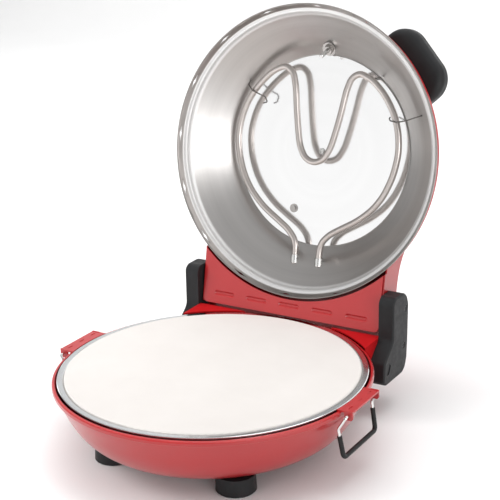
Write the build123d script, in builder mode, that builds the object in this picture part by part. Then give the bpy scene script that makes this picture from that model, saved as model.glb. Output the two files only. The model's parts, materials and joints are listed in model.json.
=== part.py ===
"""Countertop pizza oven, lid standing open on its stop. Millimetres, +Z up, front towards -Y."""

import os
from math import cos, hypot, radians, sin, tan

from build123d import *

os.makedirs("parts", exist_ok=True)

# ---------------------------------------------------------------- driving dimensions
bowl_y = -58.0  # the bowl's axis, set back so the open oven is centred on the origin
rim_r = 164.6  # widest radius of the rolled rim
rim_top = 80.4
bowl_floor = 18.0
bowl_wall = 1.5
stone_r = 152.3
stone_top = 83.3
tray_r = 159.4
tray_top = 82.0
foot_r = 20.4
foot_x, foot_y = 72.5, 78.6
pivot_y, pivot_z = 167.6, 98.6  # hinge axis, from the bowl's axis and from the table
open_angle = 101.6  # how far the lid stands open
skirt_z = 87.0  # plane of the lid's lower edge when it is shut
skirt_r = 162.3
top_disc_r = 107.6
top_disc_z = 54.7  # above the skirt's edge
slot_count = 16
slot_phase = -1.9
block_in, block_out = 114.5, 132.1
housing_x = 113.2  # half width of the lid's rear housing
ear_y = 29.0  # half length of a side bracket
bail_x, bail_z = 170.0, 78.0
wire_r = 1.5
grip_r = 2.4
tube_r, element_r = 3.2, 3.6
pin_r = 5.0
running_fit = 0.06

# ---------------------------------------------------------------- planes
base = Plane(origin=(0, bowl_y, 0), x_dir=(1, 0, 0), z_dir=(0, 0, 1))
base_profile = Plane(origin=(0, bowl_y, 0), x_dir=(1, 0, 0), z_dir=(0, -1, 0))
base_axis = Axis((0, bowl_y, 0), (0, 0, 1))
base_side = Plane(origin=(0, bowl_y, 0), x_dir=(0, 1, 0), z_dir=(1, 0, 0))

swing = radians(open_angle)
lid_y = pivot_y - pivot_y * cos(swing) + (skirt_z - pivot_z) * sin(swing)
lid_z = pivot_z + pivot_y * sin(swing) + (skirt_z - pivot_z) * cos(swing)
# the lid's own frame: origin in the middle of the skirt's edge, +Z into the dome, +Y to its rear
lid = Plane(
    origin=(0, bowl_y + lid_y, lid_z), x_dir=(1, 0, 0), z_dir=(0, sin(swing), cos(swing))
)
lid_profile = Plane(origin=lid.origin, x_dir=lid.x_dir, z_dir=-lid.y_dir)
lid_side = Plane(origin=lid.origin, x_dir=lid.y_dir, z_dir=lid.x_dir)
lid_axis = Axis(lid.origin, lid.z_dir)


def lid_at(x, y, z):
    """A point given in the lid's frame."""
    return lid.from_local_coords(Vector(x, y, z))


def base_at(x, y, z):
    """A point given from the bowl's axis."""
    return Vector(x, bowl_y + y, z)


def inset(points, t):
    """The points moved t to the left of their run."""
    out = []
    for i, (x, y) in enumerate(points):
        a = points[max(i - 1, 0)]
        b = points[min(i + 1, len(points) - 1)]
        dx, dy = b[0] - a[0], b[1] - a[1]
        n = hypot(dx, dy)
        out.append((x - dy / n * t, y + dx / n * t))
    return out


# ---------------------------------------------------------------- base: bowl
bowl_curve = [
    (112.0, 18.0), (121.5, 20.4), (129.0, 24.4), (137.6, 31.0), (145.1, 40.0),
    (151.0, 50.0), (155.7, 60.0), (160.2, 70.0), (162.2, 75.4),
]
bowl_inner = inset(bowl_curve, bowl_wall)
bowl_inner[0] = (111.6, bowl_floor + bowl_wall)

with BuildPart() as bowl:
    with BuildSketch(base_profile):
        with BuildLine():
            Line((78, bowl_floor), bowl_curve[0])
            Spline(*bowl_curve, tangents=((1, 0), (0.36, 1)))
            Line(bowl_curve[-1], (164.0, 75.4))
            TangentArc((164.0, 75.4), (rim_r, 76.4), tangent=(1, 0.2))
            Line((rim_r, 76.4), (rim_r, 78.6))
            TangentArc((rim_r, 78.6), (162.8, rim_top), tangent=(0, 1))
            Line((162.8, rim_top), (161.5, rim_top))
            Line((161.5, rim_top), (161.5, 76.6))
            Line((161.5, 76.6), bowl_inner[-1])
            Spline(*reversed(bowl_inner), tangents=((-0.36, -1), (-1, 0)))
            Line(bowl_inner[0], (78, bowl_floor + bowl_wall))
            Line((78, bowl_floor + bowl_wall), (78, bowl_floor))
        make_face()
    revolve(axis=base_axis)
    # clearance for the foot screws and the cover screws
    with BuildSketch(base.offset(bowl_floor - 1)):
        with GridLocations(2 * foot_x, 2 * foot_y, 2, 2):
            Circle(2.6)
        with PolarLocations(81, 4, 45):
            Circle(1.6)
    extrude(amount=bowl_wall + 2, mode=Mode.SUBTRACT)
    # opening for the wiring and the lower element's ends, under the rear deck
    with BuildSketch(base_side.offset(-60)):
        with Locations((150, 56)):
            Rectangle(40, 16)
    extrude(amount=120, mode=Mode.SUBTRACT)

with BuildPart() as bowl_envelope:
    with BuildSketch(base_profile):
        with BuildLine():
            Line((0, bowl_floor), bowl_curve[0])
            Spline(*bowl_curve, tangents=((1, 0), (0.36, 1)))
            Line(bowl_curve[-1], (164.0, 75.4))
            Line((164.0, 75.4), (165.3, 75.6))
            Line((165.3, 75.6), (165.3, 90))
            Line((165.3, 90), (0, 90))
            Line((0, 90), (0, bowl_floor))
        make_face()
    revolve(axis=base_axis)

# ---------------------------------------------------------------- base: rear deck
deck_back, deck_low, trough = 190.0, 35.0, 77.0
with BuildPart() as rear_deck:
    with BuildSketch(base_side):
        with BuildLine():
            Polyline(
                (60, deck_low), (deck_back, deck_low), (deck_back, trough),
                (157, trough), (155.5, tray_top), (60, tray_top), close=True,
            )
        make_face()
    extrude(amount=block_in, both=True)
    with BuildSketch(base_side):
        with BuildLine():
            Polyline(
                (50, deck_low + 1.6), (deck_back - 1.6, deck_low + 1.6),
                (deck_back - 1.6, trough - 1.6), (155.2, trough - 1.6),
                (153.8, tray_top - 1.6), (50, tray_top - 1.6), close=True,
            )
        make_face()
    extrude(amount=block_in - 1.6, both=True, mode=Mode.SUBTRACT)
    add(bowl_envelope.part, mode=Mode.SUBTRACT)
    # hole for the cable gland, vents in the back wall
    with BuildSketch(Plane(origin=(0, bowl_y + deck_back, 0), x_dir=(1, 0, 0), z_dir=(0, -1, 0))):
        with Locations((-66, 56)):
            Circle(7.0)
        with Locations((20, 48), (20, 56), (20, 64)):
            SlotOverall(70, 3)
    extrude(amount=10, both=True, mode=Mode.SUBTRACT)
    # holes for the two deck screws
    with BuildSketch(base.offset(trough + 1)):
        with Locations((-50, 181), (50, 181)):
            Circle(1.5)
    extrude(amount=-4, mode=Mode.SUBTRACT)

with BuildPart() as deck_screws:
    with BuildSketch(base.offset(trough)):
        with Locations((-50, 181), (50, 181)):
            Circle(3.4)
    extrude(amount=1.4)
    with BuildSketch(base.offset(trough)):
        with Locations((-50, 181), (50, 181)):
            Circle(1.45)
    extrude(amount=-8)
    with BuildSketch(base.offset(trough + 1.4)):
        with Locations((-50, 181), (50, 181)):
            Rectangle(4, 0.8)
            Rectangle(0.8, 4)
    extrude(amount=-0.8, mode=Mode.SUBTRACT)

# ---------------------------------------------------------------- base: underside
with BuildPart() as bottom_cover:
    with BuildSketch(base.offset(bowl_floor - 1.5)):
        Circle(85)
        with PolarLocations(81, 4, 45):
            Circle(1.6, mode=Mode.SUBTRACT)
        with PolarLocations(45, 6):
            SlotOverall(26, 3, mode=Mode.SUBTRACT)
    extrude(amount=1.5)

with BuildPart() as cover_screws:
    with BuildSketch(base.offset(bowl_floor - 3.2)):
        with PolarLocations(81, 4, 45):
            Circle(3.0)
    extrude(amount=1.7)
    with BuildSketch(base.offset(bowl_floor - 1.5)):
        with PolarLocations(81, 4, 45):
            Circle(1.5)
    extrude(amount=7)
    with BuildSketch(base.offset(bowl_floor - 3.2)):
        with PolarLocations(81, 4, 45):
            Rectangle(3.6, 0.8)
            Rectangle(0.8, 3.6)
    extrude(amount=0.9, mode=Mode.SUBTRACT)

with BuildPart() as feet:
    with BuildSketch(base):
        with GridLocations(2 * foot_x, 2 * foot_y, 2, 2):
            Circle(foot_r - 1.2)
    extrude(amount=1.2, taper=-45)
    with BuildSketch(base.offset(1.2)):
        with GridLocations(2 * foot_x, 2 * foot_y, 2, 2):
            Circle(foot_r)
    extrude(amount=bowl_floor - 1.2, taper=3)
    with BuildSketch(base):
        with GridLocations(2 * foot_x, 2 * foot_y, 2, 2):
            Circle(7)
    extrude(amount=9, mode=Mode.SUBTRACT)
    with BuildSketch(base):
        with GridLocations(2 * foot_x, 2 * foot_y, 2, 2):
            Circle(2.6)
    extrude(amount=bowl_floor, mode=Mode.SUBTRACT)

with BuildPart() as standoffs:
    with BuildSketch(base.offset(bowl_floor + bowl_wall)):
        with GridLocations(2 * foot_x, 2 * foot_y, 2, 2):
            Circle(5)
            Circle(2.5, mode=Mode.SUBTRACT)
    extrude(amount=47.2 - bowl_floor - bowl_wall)

with BuildPart() as foot_screws:
    with BuildSketch(base.offset(6.2)):
        with GridLocations(2 * foot_x, 2 * foot_y, 2, 2):
            Circle(5)
    extrude(amount=2.8)
    with BuildSketch(base.offset(9)):
        with GridLocations(2 * foot_x, 2 * foot_y, 2, 2):
            Circle(2.5)
    extrude(amount=25)
    with BuildSketch(base.offset(6.2)):
        with GridLocations(2 * foot_x, 2 * foot_y, 2, 2):
            Rectangle(6, 1)
            Rectangle(1, 6)
    extrude(amount=1.4, mode=Mode.SUBTRACT)

# ---------------------------------------------------------------- base: pan, element, tray, stone
with BuildPart() as base_pan:
    with BuildSketch(base_profile):
        with BuildLine():
            Polyline(
                (158.6, 81.0), (154.6, 81.0), (154.0, 69.6), (146.8, 57.4), (138.6, 48.0),
                (0, 48.0), (0, 47.2), (139.0, 47.2), (147.5, 57.0), (154.8, 69.2),
                (155.3, 80.2), (158.6, 80.2), close=True,
            )
        make_face()
    revolve(axis=base_axis)
    with BuildSketch(Plane(origin=base_at(0, 160, 59), x_dir=(1, 0, 0), z_dir=(0, 1, 0))):
        with Locations((-15, 0), (15, 0)):
            Circle(5.0)
    extrude(amount=-25, mode=Mode.SUBTRACT)

with BuildPart() as lower_element:
    with BuildLine() as lower_path:
        FilletPolyline(
            base_at(-15, 151, 59), base_at(-15, 112, 59), base_at(-84, 78, 59),
            base_at(-108, -30, 59), base_at(-60, -100, 59), base_at(60, -100, 59),
            base_at(108, -30, 59), base_at(84, 78, 59), base_at(15, 112, 59),
            base_at(15, 151, 59), radius=[10, 40, 45, 45, 45, 45, 40, 10],
        )
    with BuildSketch(Plane(origin=base_at(-15, 151, 59), z_dir=(0, -1, 0))):
        Circle(tube_r)
    sweep()

with BuildPart() as lower_sleeves:
    with BuildSketch(Plane(origin=base_at(0, 151, 59), x_dir=(1, 0, 0), z_dir=(0, 1, 0))):
        with Locations((-15, 0), (15, 0)):
            Circle(4.7)
            Circle(tube_r, mode=Mode.SUBTRACT)
    extrude(amount=-10)

clip_places = ((-104.6, -15), (104.6, -15), (0, -100))
with BuildPart() as lower_clips:
    with BuildSketch(base.offset(48.0)):
        with Locations(*clip_places):
            RectangleRounded(16, 16, 3)
    extrude(amount=1.0)
    with BuildSketch(base.offset(49.0)):
        with Locations(*clip_places):
            Rectangle(3, 3)
    extrude(amount=59 - tube_r - 49.0)

with BuildPart() as thermostat:
    with BuildSketch(base.offset(47.2)):
        with Locations((0, 40)):
            Circle(9)
    extrude(amount=-8)
    with BuildSketch(base.offset(39.2)):
        with Locations((-5, 40), (5, 40)):
            Rectangle(0.8, 5)
    extrude(amount=-7)

with BuildPart() as tray:
    with BuildSketch(base_profile):
        with BuildLine():
            Polyline(
                (152.7, 81.4), (153.6, tray_top), (158.6, tray_top + 0.3), (tray_r, 81.8),
                (tray_r, 81.0), (153.5, 81.0), (153.5, 70.2), (140.0, 70.2), (140.0, 71.2),
                (152.7, 71.2), close=True,
            )
        make_face()
    revolve(axis=base_axis)

with BuildPart() as stone:
    with BuildSketch(base.offset(71.2)):
        Circle(stone_r)
    extrude(amount=stone_top - 71.2)
    fillet(stone.edges().group_by(Axis.Z)[-1], 1.4)
    chamfer(stone.edges().group_by(Axis.Z)[0], 0.8)

# ---------------------------------------------------------------- base: wiring in the rear deck
with BuildPart() as terminal_block:
    with BuildSketch(base.offset(deck_low + 1.6)):
        with Locations((60, 176)):
            Rectangle(42, 14)
    extrude(amount=16)
    with BuildSketch(base.offset(deck_low + 17.6)):
        with Locations((47, 176), (60, 176), (73, 176)):
            Circle(3)
    extrude(amount=-8, mode=Mode.SUBTRACT)

with BuildPart() as cable_gland:
    with BuildSketch(Plane(origin=base_at(-66, deck_back, 56), x_dir=(1, 0, 0), z_dir=(0, 1, 0))):
        RegularPolygon(10, 6)
    extrude(amount=5)
    with BuildSketch(Plane(origin=base_at(-66, deck_back + 5, 56), x_dir=(1, 0, 0), z_dir=(0, 1, 0))):
        Circle(7.5)
    extrude(amount=7, taper=8)
    with BuildSketch(Plane(origin=base_at(-66, deck_back, 56), x_dir=(1, 0, 0), z_dir=(0, 1, 0))):
        Circle(7.0)
    extrude(amount=-9)
    with BuildSketch(Plane(origin=base_at(-66, deck_back - 9, 56), x_dir=(1, 0, 0), z_dir=(0, 1, 0))):
        Circle(3.6)
    extrude(amount=21, mode=Mode.SUBTRACT)

# ---------------------------------------------------------------- base: hinge blocks
block_outline = [
    (152.0, 127.0), (184.5, 127.0), (190.3, 112.0), (188.5, 75.0), (186.3, 51.0),
    (180.5, 35.5), (134.0, 35.5), (128.5, 41.0), (130.3, 61.0), (138.5, 68.5), (151.0, 79.0),
]
block_radii = [9, 14, 10, 60, 12, 14, 5, 5, 6, 9, 10]
screw_places = ((182.0, 108.0), (177.0, 67.3))


with BuildPart() as block_right:
    with BuildSketch(base_side.offset(block_in + 2)) as block_sketch:
        with BuildLine():
            Polyline(*block_outline, close=True)
        make_face()
        for (px, py), pr in zip(block_outline, block_radii):
            fillet(block_sketch.vertices().sort_by(lambda v: hypot(v.X - px, v.Y - py))[0], pr)
    extrude(amount=block_out - block_in - 2)
    fillet(block_right.faces().sort_by(Axis.X)[-1].edges(), 2.2)
    # hollow from the inner side
    with BuildSketch(base_side.offset(block_in + 2)) as hollow_sketch:
        with BuildLine():
            Polyline(*block_outline, close=True)
        make_face()
        offset(amount=-4, kind=Kind.INTERSECTION)
    extrude(amount=block_out - block_in - 5.5, mode=Mode.SUBTRACT)
    # screw recesses and the small pill on the outer face
    with BuildSketch(base_side.offset(block_out)):
        with Locations(*screw_places):
            Circle(3.6)
    extrude(amount=-1.8, mode=Mode.SUBTRACT)
    with BuildSketch(base_side.offset(block_out)):
        with Locations(*screw_places):
            Circle(1.6)
    extrude(amount=-4, mode=Mode.SUBTRACT)
    with BuildSketch(base_side.offset(block_out)):
        with Locations((140, 52.2)):
            SlotOverall(12, 6, rotation=60)
    extrude(amount=-0.8, mode=Mode.SUBTRACT)

with BuildPart() as block_left:
    mirror(block_right.part, about=Plane.YZ)

with BuildPart() as cover_right:
    with BuildSketch(base_side.offset(block_in)) as cover_sketch:
        with BuildLine():
            Polyline(*block_outline, close=True)
        make_face()
        for (px, py), pr in zip(block_outline, block_radii):
            fillet(cover_sketch.vertices().sort_by(lambda v: hypot(v.X - px, v.Y - py))[0], pr)
        with Locations((pivot_y, pivot_z)):
            Circle(pin_r, mode=Mode.SUBTRACT)
    extrude(amount=2)

with BuildPart() as block_covers:
    add(cover_right.part)
    mirror(cover_right.part, about=Plane.YZ)

with BuildPart() as screws_right:
    with BuildSketch(base_side.offset(block_out - 1.8)):
        with Locations(*screw_places):
            Circle(3.0)
    extrude(amount=1.4)
    with BuildSketch(base_side.offset(block_out - 1.8)):
        with Locations(*screw_places):
            Circle(1.5)
    extrude(amount=-9)
    with BuildSketch(base_side.offset(block_out - 0.4)):
        with Locations(*screw_places):
            Rectangle(3.6, 0.8)
            Rectangle(0.8, 3.6)
    extrude(amount=-0.9, mode=Mode.SUBTRACT)

with BuildPart() as block_screws:
    add(screws_right.part)
    mirror(screws_right.part, about=Plane.YZ)

with BuildPart() as pin_right:
    with BuildSketch(base_side.offset(107.5)):
        with Locations((pivot_y, pivot_z)):
            Circle(5.9)
    extrude(amount=3.4)
    with BuildSketch(base_side.offset(110.5)):
        with Locations((pivot_y, pivot_z)):
            Circle(pin_r)
    extrude(amount=14)
    chamfer(pin_right.edges().sort_by(Axis.X)[-1], 0.8)

with BuildPart() as hinge_pins:
    add(pin_right.part)
    mirror(pin_right.part, about=Plane.YZ)

# ---------------------------------------------------------------- side brackets and bails
with BuildPart() as bracket_right:
    with BuildSketch(base.offset(rim_top)):
        with Locations((150, 0)):
            Rectangle(49, 2 * ear_y)
        Circle(160.1, mode=Mode.SUBTRACT)
    extrude(amount=1.8)
    with BuildSketch(base.offset(77.0)):
        Circle(161.5)
        Circle(160.1, mode=Mode.SUBTRACT)
        with Locations((150, 0)):
            Rectangle(100, 2 * ear_y, mode=Mode.INTERSECT)
    extrude(amount=5)
    # ears turned down at both ends, bored for the wire
    with BuildSketch(Plane(origin=base_at(0, ear_y, 0), x_dir=(1, 0, 0), z_dir=(0, -1, 0))):
        with Locations((169.9, 77.8)):
            RectangleRounded(9.2, 9.6, 2.5)
        with Locations((169.9, 80.6)):
            Rectangle(9.2, 4)
    extrude(amount=1.8)
    with BuildSketch(Plane(origin=base_at(0, -ear_y, 0), x_dir=(1, 0, 0), z_dir=(0, -1, 0))):
        with Locations((169.9, 77.8)):
            RectangleRounded(9.2, 9.6, 2.5)
        with Locations((169.9, 80.6)):
            Rectangle(9.2, 4)
    extrude(amount=-1.8)
    with BuildSketch(Plane(origin=base_at(0, 60, 0), x_dir=(1, 0, 0), z_dir=(0, -1, 0))):
        with Locations((bail_x, bail_z)):
            Circle(wire_r + running_fit)
    extrude(amount=120, mode=Mode.SUBTRACT)
    # three shallow pressed marks along the strap
    with BuildSketch(base.offset(rim_top + 1.8)):
        with Locations((168, -20), (168, 0), (168, 20)):
            SlotOverall(7, 1.6, rotation=90)
    extrude(amount=-0.5, mode=Mode.SUBTRACT)

with BuildPart() as bracket_left:
    mirror(bracket_right.part, about=Plane.YZ)

bail_half = [
    (bail_x, -23.5, bail_z), (bail_x, -34.6, bail_z), (162.6, -36.2, 65.5), (167.4, -34.4, 35.6),
]
bail_points = [base_at(*p) for p in bail_half] + [base_at(x, -y, z) for x, y, z in reversed(bail_half)]
grip_share = 0.24  # where the sleeve starts along the straight leg
grip_start = bail_points[2] + (bail_points[3] - bail_points[2]) * grip_share
grip_end = Vector(grip_start.X, 2 * bowl_y - grip_start.Y, grip_start.Z)

with BuildPart() as bail_right:
    with BuildLine():
        FilletPolyline(*bail_points, radius=[3.2, 5, 5, 5, 5, 3.2])
    with BuildSketch(Plane(origin=bail_points[0], z_dir=(0, -1, 0))):
        Circle(wire_r)
    sweep()

leg_run = (bail_points[3] - bail_points[2]).normalized()
with BuildPart() as bail_grip_right:
    with BuildLine():
        FilletPolyline(grip_start, bail_points[3], bail_points[4], grip_end, radius=5)
    with BuildSketch(Plane(origin=grip_start, z_dir=leg_run)):
        Circle(grip_r)
        Circle(wire_r, mode=Mode.SUBTRACT)
    sweep()

with BuildPart() as bail_left:
    mirror(bail_right.part, about=Plane.YZ)

with BuildPart() as bail_grip_left:
    mirror(bail_grip_right.part, about=Plane.YZ)

# ---------------------------------------------------------------- lid: shell
dome_curve = [
    (159.0, 13.4), (156.2, 19.4), (151.6, 29.6), (145.6, 40.0), (136.6, 51.0),
    (124.6, 61.0), (107.0, 69.6), (84.0, 75.0), (52.0, 78.2), (0.0, 79.6),
]
dome_inner = inset(dome_curve, 1.2)
dome_inner[0] = (157.5, 13.4)
dome_inner[-1] = (0.0, 78.4)
housing_outline = [
    (90.0, 5.3), (182.6, 5.3), (184.6, 11.6), (183.4, 21.5), (176.0, 31.6), (160.0, 37.6),
    (130.0, 39.0), (112.0, 43.0), (96.0, 52.0), (80.0, 62.0),
]
handle_phi = 42.5
handle_screw_t = 18.0
handle_screw_z = 34.0


def handle_plane(r, t=0.0, z=0.0):
    """Plane square to the radius through the handle, t along the rim, z up the dome."""
    a = radians(-handle_phi)
    x = r * cos(a) - t * sin(a)
    y = r * sin(a) + t * cos(a)
    return Plane(
        origin=lid_at(x, y, z),
        x_dir=lid.x_dir * -sin(a) + lid.y_dir * cos(a),
        z_dir=lid.x_dir * cos(a) + lid.y_dir * sin(a),
    )


with BuildPart() as dome_envelope:
    with BuildSketch(lid_profile):
        with BuildLine():
            Line((0, 9.5), (158.6, 9.5))
            Line((158.6, 9.5), dome_curve[0])
            Spline(*dome_curve, tangents=((-0.35, 1), (-1, 0)))
            Line(dome_curve[-1], (0, 9.5))
        make_face()
    revolve(axis=lid_axis)

with BuildPart() as dome_hollow:
    with BuildSketch(lid_profile):
        with BuildLine():
            Line((0, 2.0), (157.0, 2.0))
            Line((157.0, 2.0), (157.0, 9.0))
            Line((157.0, 9.0), dome_inner[0])
            Spline(*dome_inner, tangents=((-0.35, 1), (-1, 0)))
            Line(dome_inner[-1], (0, 2.0))
        make_face()
    revolve(axis=lid_axis)

with BuildPart() as lid_shell:
    # rear housing, open underneath, rounded about the hinge axis
    with BuildSketch(lid_side):
        with BuildLine():
            Line(housing_outline[0], housing_outline[1])
            Spline(*housing_outline[1:6], tangents=((0.4, 1), (-1, 0.12)))
            Spline(*housing_outline[5:], tangents=((-1, 0.12), (-1, 0.75)))
            Line(housing_outline[-1], housing_outline[0])
        make_face()
    extrude(amount=housing_x, both=True)
    with BuildSketch(lid_side):
        with BuildLine():
            inner_a = inset(housing_outline[1:6], 1.8)
            inner_b = inset(housing_outline[5:], 1.8)
            inner_b[0] = inner_a[-1]
            Line((80, 5.3), (180.7, 5.3))
            Spline((180.7, 5.3), *inner_a[1:], tangents=((0.4, 1), (-1, 0.12)))
            Spline(*inner_b, tangents=((-1, 0.12), (-1, 0.75)))
            Line(inner_b[-1], (60, 60))
            Line((60, 60), (60, 5.3))
            Line((60, 5.3), (80, 5.3))
        make_face()
    extrude(amount=housing_x - 1.6, both=True, mode=Mode.SUBTRACT)
    add(dome_envelope.part)
    add(dome_hollow.part, mode=Mode.SUBTRACT)
    # the slotted skirt hangs free of the housing
    with BuildSketch(lid.offset(-2)):
        Circle(164.4)
    extrude(amount=11.0, mode=Mode.SUBTRACT)
    # hinge bores, running on the pins
    with BuildSketch(lid_side.offset(-130)):
        with Locations((pivot_y, pivot_z - skirt_z)):
            Circle(pin_r + running_fit)
    extrude(amount=260, mode=Mode.SUBTRACT)
    # holes for the handle's screws
    for t in (-handle_screw_t, handle_screw_t):
        with BuildSketch(handle_plane(130, t, handle_screw_z)):
            Circle(2.1)
        extrude(amount=40, mode=Mode.SUBTRACT)

# ---------------------------------------------------------------- lid: panel under the housing
with BuildPart() as lid_panel:
    with BuildSketch(lid.offset(3.3)) as panel_sketch:
        with Locations((0, 128.2)):
            RectangleRounded(223.0, 110.0, 5.5)
        Circle(164.4, mode=Mode.SUBTRACT)
    extrude(amount=2.0)
    with BuildSketch(lid.offset(3.3)):
        with Locations(*[(42 * k, 171) for k in range(-2, 3)]):
            SlotOverall(26, 5.4)
    extrude(amount=1.5, taper=48, mode=Mode.SUBTRACT)

# ---------------------------------------------------------------- lid: reflector
skirt_start, skirt_end = (skirt_r, 0.0), (156.8, 8.6)
bead = [
    (156.4, 9.3), (155.6, 9.5), (154.6, 9.5), (153.6, 9.9), (152.8, 10.8), (152.3, 12.0),
    (151.7, 13.6),
]
cone = [(147.0, 18.5), (142.0, 23.6), (131.6, 33.6), (120.4, 43.6), (111.4, 51.4), (108.4, 54.3)]
sheet = 0.8
outer_run = inset([skirt_start, skirt_end], -sheet / 2)
inner_run = inset([skirt_start, skirt_end], sheet / 2)
bend = [skirt_end] + bead + cone
bend_out = inset(bend, -sheet / 2)
bend_in = inset(bend, sheet / 2)

bolt_dir = (lid.y_dir * 0.439 - lid.z_dir * 0.898).normalized()
bolt_at = lid_at(3, -115.2, 48.36)
with BuildPart() as reflector:
    with BuildSketch(lid_profile):
        with BuildLine():
            Polyline(
                outer_run[0], *bend_out[1:-1], (108.8, 55.5), (97.0, 55.5), (97.0, 54.7),
                (107.9, 54.7), *reversed(bend_in[1:-1]), inner_run[0], close=True,
            )
        make_face()
    revolve(axis=lid_axis)
    # vent slots round the skirt
    for k in range(slot_count):
        a = radians(-(360.0 / slot_count * k + slot_phase))
        out = lid.x_dir * cos(a) + lid.y_dir * sin(a)
        along = lid.x_dir * -sin(a) + lid.y_dir * cos(a)
        face_dir = out * 0.842 + lid.z_dir * 0.539
        with BuildSketch(Plane(origin=lid_at(159.5 * cos(a), 159.5 * sin(a), 4.4), x_dir=along, z_dir=face_dir)):
            SlotOverall(16.5, 2.7)
        extrude(amount=2.5, both=True, mode=Mode.SUBTRACT)
    # holes for the element's legs, the bolt and the handle's screw heads stay clear
    with BuildSketch(Plane(origin=lid_at(0, 100, 38.0), x_dir=(1, 0, 0), z_dir=lid.y_dir)):
        with Locations((-15.3, 0), (15.3, 0)):
            Circle(element_r + 0.2)
    extrude(amount=40, mode=Mode.SUBTRACT)
    with BuildSketch(Plane(origin=bolt_at, x_dir=(1, 0, 0), z_dir=bolt_dir)):
        Circle(2.6)
    extrude(amount=3.2, both=True, mode=Mode.SUBTRACT)

with BuildPart() as reflector_top:
    with BuildSketch(lid.offset(top_disc_z - 0.8)):
        Circle(107.2)
        Circle(1.6, mode=Mode.SUBTRACT)
        with Locations((-29.8, 68.6)):
            Circle(1.6, mode=Mode.SUBTRACT)
    extrude(amount=0.8)

with BuildPart() as top_screw:
    with BuildSketch(lid.offset(top_disc_z - 0.8)):
        Circle(3.2)
    extrude(amount=-2.0)
    with BuildSketch(lid.offset(top_disc_z - 0.8)):
        Circle(1.5)
    extrude(amount=9)
    with BuildSketch(lid.offset(top_disc_z - 2.8)):
        Rectangle(4.2, 0.9)
        Rectangle(0.9, 4.2)
    extrude(amount=1.0, mode=Mode.SUBTRACT)

with BuildPart() as top_rivet:
    with BuildSketch(lid.offset(top_disc_z - 0.8)):
        with Locations((-29.8, 68.6)):
            Circle(5.0)
    extrude(amount=-0.7)
    with BuildSketch(lid.offset(top_disc_z - 1.5)):
        with Locations((-29.8, 68.6)):
            Circle(2.8)
    extrude(amount=-1.4)
    with BuildSketch(lid.offset(top_disc_z - 0.8)):
        with Locations((-29.8, 68.6)):
            Circle(1.5)
    extrude(amount=5)

# ---------------------------------------------------------------- lid: element
right_half = [
    (15.3, -108, 38.0), (18.0, -99.8, 38.0), (26.0, -91.0, 38.0), (40.0, -82.3, 38.0),
    (59.5, -71.0, 38.0), (76.5, -56.0, 38.0), (87.6, -40.5, 38.0), (97.0, -18.0, 38.0),
    (101.4, 8.0, 38.0), (99.0, 30.0, 38.0), (92.2, 50.0, 37.8), (79.8, 69.2, 37.2),
    (64.0, 84.2, 36.4), (48.0, 90.6, 36.0), (38.2, 84.2, 36.0), (33.2, 69.4, 36.0),
    (29.6, 47.0, 36.0), (24.6, 24.0, 36.0), (19.2, 4.0, 36.0), (11.4, -8.6, 36.0),
]
left_half = [
    (-15.3, -108, 38.0), (-18.6, -99.8, 38.0), (-27.2, -90.6, 38.0), (-42.0, -81.4, 38.4),
    (-61.2, -69.6, 38.8), (-78.2, -53.6, 39.2), (-89.6, -37.2, 39.6), (-98.2, -16.0, 40.0),
    (-102.0, 8.0, 40.0), (-99.0, 30.0, 39.8), (-90.8, 51.0, 39.2), (-76.6, 70.4, 38.0),
    (-59.8, 85.8, 36.6), (-44.0, 92.2, 36.0), (-34.2, 85.4, 36.0), (-29.6, 69.4, 36.0),
    (-26.7, 47.0, 36.0), (-23.0, 24.0, 36.0), (-18.8, 4.0, 36.0), (-11.2, -8.6, 36.0),
]
leg_out = 138.0
run = [(15.3, -leg_out, 38.0)] + right_half + [(0, -12.8, 36.0)]
run += list(reversed([(-15.3, -leg_out, 38.0)] + left_half))
loop = [lid_at(x, -v, z) for x, v, z in run]
bends = []
for before, here, after in zip(loop, loop[1:], loop[2:]):
    turn = radians((here - before).get_angle(after - here))
    bends.append(0.45 * min((here - before).length, (after - here).length) / tan(turn / 2))
with BuildPart() as upper_element:
    with BuildLine():
        FilletPolyline(*loop, radius=bends)
    with BuildSketch(Plane(origin=loop[0], z_dir=(loop[1] - loop[0]).normalized())):
        Circle(element_r)
    sweep()

leg_plane = Plane(origin=lid_at(0, 0, 38.0), x_dir=(1, 0, 0), z_dir=lid.y_dir)
with BuildPart() as element_collars:
    with BuildSketch(leg_plane.offset(118.6)):
        with Locations((-15.3, 0), (15.3, 0)):
            Circle(4.6)
            Circle(element_r, mode=Mode.SUBTRACT)
    extrude(amount=9.0)
    # only what stands inside the cone
    with BuildSketch(lid_profile):
        with BuildLine():
            Polyline((0, 20), *bend_in[9:-1], (0, 52), close=True)
        make_face()
    revolve(axis=lid_axis, mode=Mode.INTERSECT)

with BuildPart() as element_sleeves:
    with BuildSketch(leg_plane.offset(132.5)):
        with Locations((-15.3, 0), (15.3, 0)):
            Circle(5.4)
            Circle(element_r, mode=Mode.SUBTRACT)
    extrude(amount=6.0)

def hanger_path(points):
    return [lid_at(x, -v, z) for x, v, z in points]


left_run = hanger_path([(-93.4, 71.8, 44.0), (-91.6, 67.4, 36.5), (-84.0, 60.9, 33.3), (-74.2, 57.6, 33.3), (-69.4, 54.7, 38.5), (-68.7, 49.1, 42.5), (-73.4, 47.4, 41.0)])
with BuildPart() as hanger_left:
    with BuildLine():
        FilletPolyline(*left_run, radius=[3, 3, 2.5, 1.8, 1.6])
    with BuildSketch(Plane(origin=left_run[0], z_dir=(left_run[1] - left_run[0]).normalized())):
        Circle(0.75)
    sweep()

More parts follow.
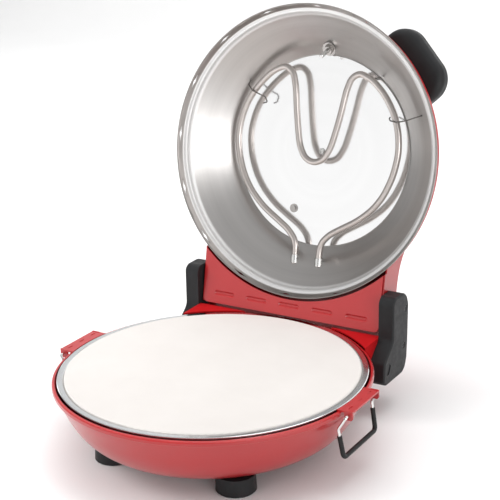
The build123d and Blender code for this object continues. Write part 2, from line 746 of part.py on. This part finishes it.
right_run = hanger_path([(130.3, 52.0, 23.6), (110.0, 44.8, 31.6), (98.3, 41.6, 32.8), (89.9, 42.6, 33.6), (86.6, 44.4, 38.0), (85.6, 45.8, 42.0)])
with BuildPart() as hanger_right:
    with BuildLine():
        FilletPolyline(*right_run, radius=[6, 4, 2.2, 2])
    with BuildSketch(Plane(origin=right_run[0], z_dir=(right_run[1] - right_run[0]).normalized())):
        Circle(0.75)
    sweep()

top_run = hanger_path([(56.0, 84.6, 47.0), (62.5, 86.0, 47.0), (67.0, 87.4, 50.4)])
with BuildPart() as hanger_top:
    with BuildLine():
        FilletPolyline(*top_run, radius=3)
    with BuildSketch(Plane(origin=top_run[0], z_dir=(top_run[1] - top_run[0]).normalized())):
        Circle(1.0)
    sweep()

# ---------------------------------------------------------------- lid: bolt on the front wall
with BuildPart() as lid_bolt_washer:
    with BuildSketch(Plane(origin=bolt_at + bolt_dir * 2.8, x_dir=(1, 0, 0), z_dir=bolt_dir)):
        Circle(8.0)
        Circle(2.6, mode=Mode.SUBTRACT)
    extrude(amount=1.2)

with BuildPart() as lid_bolt_nut:
    with BuildSketch(Plane(origin=bolt_at + bolt_dir * 4.0, x_dir=(1, 0, 0), z_dir=bolt_dir)):
        RegularPolygon(5.6, 6)
        Circle(2.4, mode=Mode.SUBTRACT)
    extrude(amount=4.4)

with BuildPart() as lid_bolt_stud:
    with BuildSketch(Plane(origin=bolt_at + bolt_dir * -5.6, x_dir=(1, 0, 0), z_dir=bolt_dir)):
        Circle(2.4)
    extrude(amount=28.6)
    with BuildSketch(Plane(origin=bolt_at + bolt_dir * -5.6, x_dir=(1, 0, 0), z_dir=bolt_dir)):
        Circle(4.4)
    extrude(amount=3.0)
    chamfer(lid_bolt_stud.edges().sort_by(Axis(bolt_at, bolt_dir))[-1], 0.6)

# ---------------------------------------------------------------- lid: handle
grip = Plane(
    origin=lid_at(0, 0, 23),
    x_dir=handle_plane(0).x_dir,
    z_dir=lid.z_dir,
)
# in this plane x runs along the rim and y points in towards the axis, so radii are taken negative
grip_sign = 1.0 if (grip.from_local_coords(Vector(0, 1, 0)) - grip.origin).dot(handle_plane(0).z_dir) > 0 else -1.0
with BuildPart() as handle:
    with BuildSketch(grip) as grip_sketch:
        with Locations((0, grip_sign * 154)):
            Rectangle(87, 48)
        fillet(grip_sketch.vertices().filter_by(lambda v: abs(v.Y) > 150), 26)
    extrude(amount=22)
    fillet(
        handle.edges().filter_by(
            lambda e: abs(grip.to_local_coords(e.center()).Y) > 131
            and abs((e @ 0 - e @ 1).dot(grip.z_dir)) < 0.01
        ),
        8,
    )
    add(dome_envelope.part, mode=Mode.SUBTRACT)
    for t in (-handle_screw_t, handle_screw_t):
        with BuildSketch(handle_plane(130, t, handle_screw_z)):
            Circle(2.0)
        extrude(amount=32, mode=Mode.SUBTRACT)

with BuildPart() as handle_screws:
    for t in (-handle_screw_t, handle_screw_t):
        with BuildSketch(handle_plane(141.0, t, handle_screw_z)):
            Circle(4.0)
        extrude(amount=2.4)
        with BuildSketch(handle_plane(143.4, t, handle_screw_z)):
            Circle(2.0)
        extrude(amount=18)

# ---------------------------------------------------------------- export
bowl.part.label = "bowl"
rear_deck.part.label = "rear_deck"
deck_screws.part.label = "deck_screws"
bottom_cover.part.label = "bottom_cover"
cover_screws.part.label = "cover_screws"
feet.part.label = "feet"
standoffs.part.label = "standoffs"
foot_screws.part.label = "foot_screws"
base_pan.part.label = "base_pan"
lower_element.part.label = "lower_element"
lower_sleeves.part.label = "lower_sleeves"
lower_clips.part.label = "lower_clips"
thermostat.part.label = "thermostat"
tray.part.label = "tray"
stone.part.label = "stone"
terminal_block.part.label = "terminal_block"
cable_gland.part.label = "cable_gland"
block_right.part.label = "block_right"
block_left.part.label = "block_left"
block_covers.part.label = "block_covers"
block_screws.part.label = "block_screws"
hinge_pins.part.label = "hinge_pins"
bracket_right.part.label = "bracket_right"
bracket_left.part.label = "bracket_left"
bail_right.part.label = "bail_right"
bail_grip_right.part.label = "bail_grip_right"
bail_left.part.label = "bail_left"
bail_grip_left.part.label = "bail_grip_left"
lid_shell.part.label = "lid_shell"
lid_panel.part.label = "lid_panel"
reflector.part.label = "reflector"
reflector_top.part.label = "reflector_top"
top_screw.part.label = "top_screw"
top_rivet.part.label = "top_rivet"
upper_element.part.label = "upper_element"
element_collars.part.label = "element_collars"
element_sleeves.part.label = "element_sleeves"
hanger_left.part.label = "hanger_left"
hanger_right.part.label = "hanger_right"
hanger_top.part.label = "hanger_top"
lid_bolt_washer.part.label = "lid_bolt_washer"
lid_bolt_nut.part.label = "lid_bolt_nut"
lid_bolt_stud.part.label = "lid_bolt_stud"
handle.part.label = "handle"
handle_screws.part.label = "handle_screws"

for piece in (
    bowl, rear_deck, deck_screws, bottom_cover, cover_screws, feet, standoffs, foot_screws,
    base_pan, lower_element, lower_sleeves, lower_clips, thermostat, tray, stone,
    terminal_block, cable_gland, block_right, block_left, block_covers, block_screws,
    hinge_pins, bracket_right, bracket_left, bail_right, bail_grip_right, bail_left,
    bail_grip_left, lid_shell, lid_panel, reflector, reflector_top, top_screw, top_rivet,
    upper_element, element_collars, element_sleeves, hanger_left, hanger_right,
    hanger_top, lid_bolt_washer, lid_bolt_nut, lid_bolt_stud, handle, handle_screws,
):
    export_step(piece.part, f"parts/{piece.part.label}.step")
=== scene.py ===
"""Looks for the countertop pizza oven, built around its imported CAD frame."""

import json
import math

import bmesh
import bpy
from mathutils import Matrix, Vector


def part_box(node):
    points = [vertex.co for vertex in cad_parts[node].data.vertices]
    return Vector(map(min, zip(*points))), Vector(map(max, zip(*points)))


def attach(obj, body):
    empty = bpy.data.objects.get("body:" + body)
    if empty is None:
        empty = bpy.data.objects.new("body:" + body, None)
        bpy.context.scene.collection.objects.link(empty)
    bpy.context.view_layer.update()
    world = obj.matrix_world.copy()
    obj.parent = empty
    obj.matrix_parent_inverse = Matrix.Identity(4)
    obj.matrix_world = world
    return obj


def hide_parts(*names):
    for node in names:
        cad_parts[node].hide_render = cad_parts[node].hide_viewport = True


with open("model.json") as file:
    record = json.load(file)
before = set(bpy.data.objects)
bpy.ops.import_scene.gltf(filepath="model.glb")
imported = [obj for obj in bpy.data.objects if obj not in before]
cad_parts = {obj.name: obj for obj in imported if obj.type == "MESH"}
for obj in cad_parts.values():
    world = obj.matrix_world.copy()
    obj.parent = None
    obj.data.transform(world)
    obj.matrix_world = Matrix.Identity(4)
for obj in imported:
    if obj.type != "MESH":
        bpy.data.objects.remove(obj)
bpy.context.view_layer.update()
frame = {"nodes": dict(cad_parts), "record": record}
nodes = frame["nodes"]

# ------------------------------------------------------------------ the lid's own frame
stone_lo, stone_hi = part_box("stone")
BOWL_Y = (stone_lo.y + stone_hi.y) / 2
PIVOT_Y, PIVOT_Z, SKIRT_Z = 0.1676, 0.0986, 0.0870
SWING = math.radians(101.6)
LID_O = Vector((
    0.0,
    BOWL_Y + PIVOT_Y - PIVOT_Y * math.cos(SWING) + (SKIRT_Z - PIVOT_Z) * math.sin(SWING),
    PIVOT_Z + PIVOT_Y * math.sin(SWING) + (SKIRT_Z - PIVOT_Z) * math.cos(SWING),
))
LID_Z = Vector((0.0, math.sin(SWING), math.cos(SWING)))
LID_X = Vector((1.0, 0.0, 0.0))
LID_Y = LID_Z.cross(LID_X)
LID_M = Matrix((
    (LID_X.x, LID_Y.x, LID_Z.x, LID_O.x),
    (LID_X.y, LID_Y.y, LID_Z.y, LID_O.y),
    (LID_X.z, LID_Y.z, LID_Z.z, LID_O.z),
    (0, 0, 0, 1),
))


def lid_at(x, y, z):
    return LID_O + LID_X * x + LID_Y * y + LID_Z * z


# ------------------------------------------------------------------ materials
def new_mat(name):
    m = bpy.data.materials.new(name)
    m.use_nodes = True
    nt = m.node_tree
    nt.nodes.clear()
    out = nt.nodes.new("ShaderNodeOutputMaterial")
    b = nt.nodes.new("ShaderNodeBsdfPrincipled")
    nt.links.new(b.outputs[0], out.inputs[0])
    return m, nt, b


def coords(nt, scale=(1, 1, 1), kind="Object"):
    tc = nt.nodes.new("ShaderNodeTexCoord")
    mp = nt.nodes.new("ShaderNodeMapping")
    mp.inputs["Scale"].default_value = scale
    nt.links.new(tc.outputs[kind], mp.inputs[0])
    return mp.outputs[0]


def noise(nt, vec, scale, detail=3.0, rough=0.5):
    n = nt.nodes.new("ShaderNodeTexNoise")
    n.inputs["Scale"].default_value = scale
    n.inputs["Detail"].default_value = detail
    n.inputs["Roughness"].default_value = rough
    nt.links.new(vec, n.inputs["Vector"])
    return n.outputs["Fac"]


def ramp(nt, fac, stops, interp="LINEAR"):
    r = nt.nodes.new("ShaderNodeValToRGB")
    r.color_ramp.interpolation = interp
    while len(r.color_ramp.elements) > 1:
        r.color_ramp.elements.remove(r.color_ramp.elements[-1])
    r.color_ramp.elements[0].position = stops[0][0]
    r.color_ramp.elements[0].color = stops[0][1]
    for p, c in stops[1:]:
        e = r.color_ramp.elements.new(p)
        e.color = c
    nt.links.new(fac, r.inputs[0])
    return r.outputs[0]


def rng(nt, fac, lo, hi, a=0.0, b=1.0):
    r = nt.nodes.new("ShaderNodeMapRange")
    r.inputs["From Min"].default_value = a
    r.inputs["From Max"].default_value = b
    r.inputs["To Min"].default_value = lo
    r.inputs["To Max"].default_value = hi
    nt.links.new(fac, r.inputs["Value"])
    return r.outputs[0]


def bump(nt, b, height, strength, distance, prev=None):
    n = nt.nodes.new("ShaderNodeBump")
    n.inputs["Strength"].default_value = strength
    n.inputs["Distance"].default_value = distance
    nt.links.new(height, n.inputs["Height"])
    if prev is not None:
        nt.links.new(prev, n.inputs["Normal"])
    nt.links.new(n.outputs[0], b.inputs["Normal"])
    return n.outputs[0]


def grey(v, a=1.0):
    return (v, v, v, a)


def red_paint(name="red_paint", coat=0.5, spec=0.5):
    m, nt, b = new_mat(name)
    v = coords(nt)
    tone = noise(nt, v, 14.0, 4.0)
    col = ramp(nt, tone, [(0.3, (0.335, 0.0075, 0.0095, 1)), (0.7, (0.372, 0.0098, 0.0120, 1))])
    nt.links.new(col, b.inputs["Base Color"])
    rough = noise(nt, v, 90.0, 3.0)
    nt.links.new(rng(nt, rough, 0.26, 0.34), b.inputs["Roughness"])
    b.inputs["Coat Weight"].default_value = coat
    b.inputs["Coat Roughness"].default_value = 0.12
    b.inputs["Specular IOR Level"].default_value = spec
    peel = noise(nt, v, 420.0, 2.0)
    bump(nt, b, peel, 0.08, 0.0004)
    return m


def black_plastic(name="black_plastic", base=(0.0150, 0.0154, 0.0163), rough=(0.42, 0.56), grain=2600.0):
    m, nt, b = new_mat(name)
    v = coords(nt)
    tone = noise(nt, v, 30.0, 4.0)
    lo = tuple(c * 0.82 for c in base) + (1,)
    hi = tuple(c * 1.2 for c in base) + (1,)
    nt.links.new(ramp(nt, tone, [(0.3, lo), (0.7, hi)]), b.inputs["Base Color"])
    g = noise(nt, v, grain, 2.0)
    nt.links.new(rng(nt, noise(nt, v, 160.0, 3.0), rough[0], rough[1], 0.3, 0.7), b.inputs["Roughness"])
    b.inputs["Specular IOR Level"].default_value = 0.24
    bump(nt, b, g, 0.22, 0.0002)
    return m


def metal(name, base, rough, scale=220.0, stretch=(1, 1, 1), tint=0.08, bumpy=0.05, dist=0.0002, aniso=0.0):
    m, nt, b = new_mat(name)
    v = coords(nt, stretch)
    n = noise(nt, v, scale, 5.0, 0.6)
    lo = tuple(c * (1 - tint) for c in base) + (1,)
    hi = tuple(min(c * (1 + tint), 1.0) for c in base) + (1,)
    nt.links.new(ramp(nt, n, [(0.3, lo), (0.7, hi)]), b.inputs["Base Color"])
    nt.links.new(rng(nt, n, rough[0], rough[1], 0.3, 0.7), b.inputs["Roughness"])
    b.inputs["Metallic"].default_value = 1.0
    b.inputs["Anisotropic"].default_value = aniso
    if bumpy:
        bump(nt, b, n, bumpy, dist)
    return m


def spun_steel(name, base, rough, rings=2600.0, tint=0.05, bumpy=0.05):
    """Satin steel spun about the lid's axis: fine rings run round it."""
    m, nt, b = new_mat(name)
    tc = nt.nodes.new("ShaderNodeTexCoord")
    mp = nt.nodes.new("ShaderNodeMapping")
    mp.vector_type = "TEXTURE"
    mp.inputs["Location"].default_value = LID_O
    mp.inputs["Rotation"].default_value = LID_M.to_euler()
    nt.links.new(tc.outputs["Object"], mp.inputs[0])
    sx = nt.nodes.new("ShaderNodeSeparateXYZ")
    nt.links.new(mp.outputs[0], sx.inputs[0])
    cx = nt.nodes.new("ShaderNodeCombineXYZ")
    nt.links.new(sx.outputs[0], cx.inputs[0])
    nt.links.new(sx.outputs[1], cx.inputs[1])
    ln = nt.nodes.new("ShaderNodeVectorMath")
    ln.operation = "LENGTH"
    nt.links.new(cx.outputs[0], ln.inputs[0])
    rv = nt.nodes.new("ShaderNodeCombineXYZ")
    nt.links.new(ln.outputs["Value"], rv.inputs[0])
    nt.links.new(sx.outputs[2], rv.inputs[1])
    fine = noise(nt, rv.outputs[0], rings, 3.0, 0.6)
    broad = noise(nt, rv.outputs[0], 120.0, 3.0, 0.5)
    lo = tuple(c * (1 - tint) for c in base) + (1,)
    hi = tuple(min(c * (1 + tint), 1.0) for c in base) + (1,)
    nt.links.new(ramp(nt, broad, [(0.3, lo), (0.7, hi)]), b.inputs["Base Color"])
    nt.links.new(rng(nt, fine, rough[0], rough[1], 0.3, 0.7), b.inputs["Roughness"])
    b.inputs["Metallic"].default_value = 1.0
    bump(nt, b, fine, bumpy, 0.0001)
    return m


def local_spun(name, base, rough, tint=0.05):
    """Spun satin steel on a mesh whose own Z is the axis it was spun about; the highlight runs along the radius."""
    m, nt, b = new_mat(name)
    tc = nt.nodes.new("ShaderNodeTexCoord")
    sx = nt.nodes.new("ShaderNodeSeparateXYZ")
    nt.links.new(tc.outputs["Object"], sx.inputs[0])
    cx = nt.nodes.new("ShaderNodeCombineXYZ")
    nt.links.new(sx.outputs[0], cx.inputs[0])
    nt.links.new(sx.outputs[1], cx.inputs[1])
    ln = nt.nodes.new("ShaderNodeVectorMath")
    ln.operation = "LENGTH"
    nt.links.new(cx.outputs[0], ln.inputs[0])
    rv = nt.nodes.new("ShaderNodeCombineXYZ")
    nt.links.new(ln.outputs["Value"], rv.inputs[0])
    nt.links.new(sx.outputs[2], rv.inputs[1])
    fine = noise(nt, rv.outputs[0], 2400.0, 3.0, 0.6)
    broad = noise(nt, rv.outputs[0], 120.0, 3.0, 0.5)
    cloud = noise(nt, tc.outputs["Object"], 9.0, 3.0, 0.5)
    lo = tuple(c * (1 - tint) for c in base) + (1,)
    hi = tuple(min(c * (1 + tint), 1.0) for c in base) + (1,)
    # the rolled bead beside the skirt is painted pale as a painted highlight, and scatters more than the cone
    bead = nt.nodes.new("ShaderNodeMath")
    bead.operation = "MULTIPLY"
    nt.links.new(rng(nt, ln.outputs["Value"], 0.0, 1.0, 0.1485, 0.1502), bead.inputs[0])
    nt.links.new(rng(nt, ln.outputs["Value"], 1.0, 0.0, 0.1564, 0.1571), bead.inputs[1])
    bead_highlight = nt.nodes.new("ShaderNodeMix")
    bead_highlight.data_type = "RGBA"
    nt.links.new(bead.outputs[0], bead_highlight.inputs["Factor"])
    nt.links.new(ramp(nt, broad, [(0.3, lo), (0.7, hi)]), bead_highlight.inputs[6])
    bead_highlight.inputs[7].default_value = (0.92, 0.915, 0.91, 1)
    # and the slotted skirt, rolled steel, is painted darker and brownish as painted shade
    skirt = nt.nodes.new("ShaderNodeMix")
    skirt.data_type = "RGBA"
    nt.links.new(rng(nt, ln.outputs["Value"], 0.0, 1.0, 0.1567, 0.1574), skirt.inputs["Factor"])
    nt.links.new(bead_highlight.outputs[2], skirt.inputs[6])
    skirt.inputs[7].default_value = (0.36, 0.335, 0.32, 1)
    nt.links.new(skirt.outputs[2], b.inputs["Base Color"])
    mix = nt.nodes.new("ShaderNodeMath")
    mix.operation = "MULTIPLY_ADD"
    nt.links.new(cloud, mix.inputs[0])
    mix.inputs[1].default_value = 0.6
    nt.links.new(fine, mix.inputs[2])
    satin = nt.nodes.new("ShaderNodeMix")
    nt.links.new(bead.outputs[0], satin.inputs["Factor"])
    nt.links.new(rng(nt, mix.outputs[0], rough[0], rough[1], 0.5, 1.1), satin.inputs[2])
    satin.inputs[3].default_value = 0.62
    nt.links.new(satin.outputs[0], b.inputs["Roughness"])
    b.inputs["Metallic"].default_value = 1.0
    b.inputs["Anisotropic"].default_value = 0.55
    tg = nt.nodes.new("ShaderNodeTangent")
    tg.direction_type = "RADIAL"
    tg.axis = "Z"
    nt.links.new(tg.outputs[0], b.inputs["Tangent"])
    bump(nt, b, fine, 0.05, 0.0001)
    return m


def stone_mat():
    m, nt, b = new_mat("baking_stone")
    v = coords(nt)
    tone = noise(nt, v, 18.0, 6.0, 0.6)
    speck = noise(nt, v, 900.0, 2.0, 0.7)
    mix = nt.nodes.new("ShaderNodeMath")
    mix.operation = "MULTIPLY_ADD"
    nt.links.new(speck, mix.inputs[0])
    mix.inputs[1].default_value = 0.35
    nt.links.new(tone, mix.inputs[2])
    col = ramp(nt, mix.outputs[0], [(0.35, (0.520, 0.494, 0.474, 1)), (0.95, (0.560, 0.535, 0.515, 1))])
    nt.links.new(col, b.inputs["Base Color"])
    nt.links.new(rng(nt, speck, 0.62, 0.82, 0.3, 0.7), b.inputs["Roughness"])
    bump(nt, b, speck, 0.12, 0.0003)
    return m


M = {
    "red_paint": red_paint(),
    "shaded_paint": red_paint("shaded_paint", 0.0, 0.03),
    "black_plastic": black_plastic(),
    "screw_steel": metal("screw_steel", (0.66, 0.655, 0.64), (0.16, 0.3), 400.0),
    "galvanised_plate": metal("galvanised_plate", (0.58, 0.59, 0.6), (0.28, 0.44), 60.0, tint=0.14),
    "element_steel": metal("element_steel", (0.60, 0.552, 0.525), (0.30, 0.34), 40.0, tint=0.03, bumpy=0.0),
    "insulator_ceramic": black_plastic("insulator_ceramic", (0.7, 0.68, 0.62), (0.4, 0.6), 1500.0),
    "terminal_plastic": black_plastic("terminal_plastic", (0.62, 0.58, 0.48), (0.4, 0.55), 1500.0),
    "tray_chrome": metal("tray_chrome", (0.80, 0.81, 0.82), (0.10, 0.18), 300.0, tint=0.03, bumpy=0.03),
    "baking_stone": stone_mat(),
    "dark_screws": metal("dark_screws", (0.06, 0.06, 0.062), (0.3, 0.45), 300.0),
    "bail_wire": metal("bail_wire", (0.72, 0.715, 0.70), (0.14, 0.24), 500.0, tint=0.04),
    "grip_sleeve": black_plastic("grip_sleeve", (0.012, 0.012, 0.0125), (0.38, 0.5), 1800.0),
    "hanger_wire": metal("hanger_wire", (0.20, 0.19, 0.18), (0.25, 0.38), 300.0, tint=0.1),
    # darker steel for the bolt, washer and rivet: painted shade on them
    "bolt_steel": metal("bolt_steel", (0.42, 0.40, 0.385), (0.14, 0.26), 300.0, tint=0.12),
    "reflector_steel": local_spun("reflector_steel", (0.53, 0.514, 0.503), (0.27, 0.35)),
    "reflector_mirror": spun_steel("reflector_mirror", (0.885, 0.885, 0.885), (0.115, 0.15), tint=0.01, bumpy=0.01),
}
slot_of = {s["node"]: s["material_slot"] for s in frame["record"]["subparts"]}


def dress(o, mat, angle=34.0):
    o.data.materials.clear()
    o.data.materials.append(mat)
    for p in o.data.polygons:
        p.use_smooth = True
        p.material_index = 0
    o.data.set_sharp_from_angle(angle=math.radians(angle))


# the rear deck takes a coatless, dull copy of the red paint as painted shade in its trough under the lid; the bolt,
# washer and rivet take a darker steel as painted shade on them; the hangers take a dark wire
shade_and_dark_metal = {"rear_deck": "shaded_paint",
        "hanger_left": "hanger_wire", "hanger_right": "hanger_wire", "hanger_top": "hanger_wire",
        "lid_bolt_nut": "bolt_steel", "lid_bolt_washer": "bolt_steel", "top_rivet": "bolt_steel"}
for name, o in nodes.items():
    dress(o, M[shade_and_dark_metal.get(name, slot_of[name])])

# ------------------------------------------------------------------ the reflector, spun from sheet
def spun_reflector():
    """Mid-surface of the reflector with its slotted skirt, rolled bead and cone, given the sheet's thickness."""
    skirt_a, skirt_b = Vector((0.1606, 0.0029)), Vector((0.1569, 0.0086))
    slots, phase = 16, math.radians(-1.9)
    step = math.tau / slots
    bm = bmesh.new()

    def at(r, a, z):
        return Vector((r * math.cos(a), -r * math.sin(a), z))

    cols = 24  # columns of the skirt in each slot's sector
    side = [(-1 + 2 * i / cols, -1) for i in range(cols)]
    side += [(1, -1 + 2 * i / 4) for i in range(4)]
    side += [(1 - 2 * i / cols, 1) for i in range(cols)]
    side += [(-1, 1 - 2 * i / 4) for i in range(4)]
    n = len(side)
    r_mid = (skirt_a.x + skirt_b.x) / 2
    length = (skirt_b - skirt_a).length
    half_u, half_v = step * r_mid / 2, length / 2
    half_long, half_wide = 0.0084, 0.00135
    perimeter = []
    for u, v in side:
        x, y = u * half_u, v * half_v
        # where the ray from the slot's spine meets the slot's outline
        sx = max(-(half_long - half_wide), min(half_long - half_wide, x * half_long / half_u))
        dx, dy = x - sx, y
        d = math.hypot(dx, dy)
        perimeter.append((sx + dx / d * half_wide, dy / d * half_wide))
    v_off = -0.0005
    cache = {}

    def skirt_vert(x, y):
        t = (y + half_v) / length
        p = skirt_a.lerp(skirt_b, t)
        return p.x, x / r_mid, p.y

    for k in range(slots):
        centre = step * k + phase
        rings = []
        for j in range(5):
            f = (j / 4) ** 1.4
            ring = []
            for i, ((u, v), (px, py)) in enumerate(zip(side, perimeter)):
                x = px + (u * half_u - px) * f
                y = (py + v_off * (1 - f)) + (v * half_v - py) * f
                r, da, z = skirt_vert(x, y)
                key = (k, j, i)
                if j == 4:
                    key = (round((centre + da) % math.tau, 5) % round(math.tau, 5), round(y, 6))
                if key not in cache:
                    cache[key] = bm.verts.new(at(r, centre + da, z))
                ring.append(cache[key])
            rings.append(ring)
        for a, b in zip(rings, rings[1:]):
            for i in range(n):
                q = (a[i], a[(i + 1) % n], b[(i + 1) % n], b[i])
                if len(set(q)) == 4:
                    bm.faces.new(q)
    bmesh.ops.remove_doubles(bm, verts=bm.verts[:], dist=2e-6)
    # rows above the skirt: the bead, the cone and the turned edge under the top disc
    rows = [(0.1569, 0.0086), (0.15665, 0.00896), (0.15625, 0.00925), (0.15560, 0.0094),
            (0.15480, 0.00942), (0.15400, 0.0096), (0.15330, 0.01005), (0.15280, 0.01075),
            (0.15248, 0.0116), (0.15215, 0.0126), (0.15165, 0.01375), (0.15075, 0.01495),
            (0.14900, 0.01675), (0.1470, 0.0188)]
    cone_a, cone_b = Vector((0.1470, 0.0188)), Vector((0.1100, 0.0532))
    rows += [tuple(cone_a.lerp(cone_b, i / 12)) for i in range(1, 13)]
    rows += [(0.1090, 0.05412), (0.1082, 0.05478), (0.1071, 0.0551), (0.1056, 0.0552), (0.0975, 0.0552)]
    around = slots * cols
    prev = None
    for r, z in rows:
        row = [bm.verts.new(at(r, phase - step / 2 + math.tau * i / around, z)) for i in range(around)]
        if prev:
            for i in range(around):
                bm.faces.new((prev[i], prev[(i + 1) % around], row[(i + 1) % around], row[i]))
        prev = row
    # hem rolled outwards along the skirt's edge
    prev = None
    for i in range(9):
        a = math.radians(-55 + 250 * i / 8)
        r, z = 0.16075 + 0.0004 * math.cos(a), 0.0029 - 0.0004 * math.sin(a)
        row = [bm.verts.new(at(r, phase - step / 2 + math.tau * k / around, z)) for k in range(around)]
        if prev:
            for k in range(around):
                bm.faces.new((prev[k], prev[(k + 1) % around], row[(k + 1) % around], row[k]))
        prev = row
    bmesh.ops.remove_doubles(bm, verts=bm.verts[:], dist=4e-6)
    bmesh.ops.recalc_face_normals(bm, faces=bm.faces[:])
    me = bpy.data.meshes.new("spun_reflector")
    bm.to_mesh(me)
    bm.free()
    o = bpy.data.objects.new("spun_reflector", me)
    bpy.context.scene.collection.objects.link(o)
    me.materials.append(M["reflector_steel"])
    for p in me.polygons:
        p.use_smooth = True
    o.matrix_world = LID_M
    sol = o.modifiers.new("thickness", "SOLIDIFY")
    sol.thickness = 0.0007
    sol.offset = 0.0
    sol.use_even_offset = False
    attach(o, "lid")
    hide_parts("reflector")
    return o


spun_reflector()

# ------------------------------------------------------------------ stage
def plane_mat():
    m, nt, b = new_mat("studio_floor")
    v = coords(nt)
    n = noise(nt, v, 3.0, 2.0)
    nt.links.new(ramp(nt, n, [(0.3, grey(0.70)), (0.7, grey(0.72))]), b.inputs["Base Color"])
    b.inputs["Roughness"].default_value = 0.75
    return m


def cyclorama():
    bm = bmesh.new()
    w, front, back, rise, r = 6.0, -5.0, 3.2, 4.5, 1.4
    prof = [(front, 0.0), (back - r, 0.0)]
    for i in range(1, 25):
        a = math.pi / 2 * i / 24
        prof.append((back - r + r * math.sin(a), r - r * math.cos(a)))
    prof.append((back, rise))
    rows = [[bm.verts.new((x, y, z)) for x in (-w, w)] for y, z in prof]
    for a, b in zip(rows, rows[1:]):
        bm.faces.new((a[0], a[1], b[1], b[0]))
    me = bpy.data.meshes.new("studio_sweep")
    bm.to_mesh(me)
    bm.free()
    o = bpy.data.objects.new("studio_sweep", me)
    bpy.context.scene.collection.objects.link(o)
    me.materials.append(plane_mat())
    for p in me.polygons:
        p.use_smooth = True
    return o


cyclorama()


def area(name, loc, target, size, power, size_y=None, color=(1, 1, 1)):
    d = bpy.data.lights.new(name, "AREA")
    d.energy = power
    d.color = color
    d.shape = "RECTANGLE"
    d.size = size
    d.size_y = size_y or size
    o = bpy.data.objects.new(name, d)
    o.location = loc
    o.rotation_mode = "QUATERNION"
    o.rotation_quaternion = (Vector(target) - Vector(loc)).to_track_quat("-Z", "Y")
    bpy.context.scene.collection.objects.link(o)
    return o


def card(name, loc, target, size, size_y, radiance, color=(1, 1, 1)):
    """A softbox of known brightness, which the shiny parts reflect."""
    o = area(name, loc, target, size, radiance * math.pi * size * size_y, size_y, color)
    o.visible_camera = False
    return o


def wash(name, loc, target, size, power, size_y=None, color=(1, 1, 1)):
    """Broad light that shapes the matt surfaces and isn't mirrored in the metal."""
    o = area(name, loc, target, size, power, size_y, color)
    o.visible_camera = False
    o.visible_glossy = False
    return o


wash("wash_top", (-0.3, -0.3, 2.6), (0, 0, 0.1), 2.6, 25, 2.2)
wash("wash_left", (-2.0, -1.3, 1.6), (0, 0, 0.15), 1.6, 20, 1.6)
wash("wash_back", (0.0, 0.4, 2.4), (0, 3.2, 1.2), 2.5, 84, 1.2)
wash("floor_left", (-0.85, -0.62, 0.75), (-0.62, -0.42, 0.0), 0.7, 6.0, 0.7)
card("card_front_left", (-1.25, -2.5, 0.42), (0, 0.1, 0.25), 2.2, 1.3, 0.53)
wash("wash_front", (-0.6, -2.6, 0.9), (0, 0, 0.2), 1.6, 11.0, 1.0)
card("card_front_right", (1.75, -1.05, 0.50), (-0.1, 0.1, 0.28), 1.0, 0.75, 5.2)

world = bpy.data.worlds.new("studio")
bpy.context.scene.world = world
world.use_nodes = True
wn = world.node_tree
tc = wn.nodes.new("ShaderNodeTexCoord")
sep = wn.nodes.new("ShaderNodeSeparateXYZ")
wn.links.new(tc.outputs["Generated"], sep.inputs[0])
wr = ramp(wn, rng(wn, sep.outputs["Z"], 0.0, 1.0, -1.0, 1.0), [
    (0.45, grey(0.50)), (0.54, grey(0.56)), (0.68, grey(0.42)), (1.0, grey(0.56)),
])
# a broad overhead light hung behind the oven: the lid's skirt and bead mirror it
dot = wn.nodes.new("ShaderNodeVectorMath")
dot.operation = "DOT_PRODUCT"
wn.links.new(tc.outputs["Generated"], dot.inputs[0])
dot.inputs[1].default_value = (0.33, 1.0, 0.0)
band = rng(wn, dot.outputs["Value"], 0.0, 1.0, 0.03, 0.11)
low = rng(wn, sep.outputs["Z"], 0.0, 1.0, 0.08, 0.22)
both = wn.nodes.new("ShaderNodeMath")
both.operation = "MULTIPLY"
wn.links.new(band, both.inputs[0])
wn.links.new(low, both.inputs[1])
over = wn.nodes.new("ShaderNodeMix")
over.data_type = "RGBA"
wn.links.new(both.outputs[0], over.inputs["Factor"])
wn.links.new(wr, over.inputs[6])
over.inputs[7].default_value = grey(1.65)
wn.links.new(over.outputs[2], wn.nodes["Background"].inputs[0])
wn.nodes["Background"].inputs[1].default_value = 1.0

# ------------------------------------------------------------------ camera
AZ, EL, ROLL, DIST = math.radians(31.3), math.radians(18.6), math.radians(-1.79), 1.3672
back = Vector((math.sin(AZ) * math.cos(EL), -math.cos(AZ) * math.cos(EL), math.sin(EL)))
right = Vector((math.cos(AZ), math.sin(AZ), 0.0))
up = back.cross(right)
right, up = (
    right * math.cos(ROLL) + up * math.sin(ROLL),
    up * math.cos(ROLL) - right * math.sin(ROLL),
)
cam_data = bpy.data.cameras.new("camera")
cam_data.sensor_width = 36.0
cam_data.lens = 1400.0 / 500.0 * 36.0
cam_data.clip_start, cam_data.clip_end = 0.05, 30.0
cam = bpy.data.objects.new("camera", cam_data)
cam.rotation_mode = "QUATERNION"
cam.location = Vector((0.04883, BOWL_Y, 0.21767)) + back * DIST
cam.rotation_quaternion = Matrix((
    (right.x, up.x, back.x), (right.y, up.y, back.y), (right.z, up.z, back.z)
)).to_quaternion()
bpy.context.scene.collection.objects.link(cam)
bpy.context.scene.camera = cam
bpy.context.scene.view_settings.view_transform = "Standard"
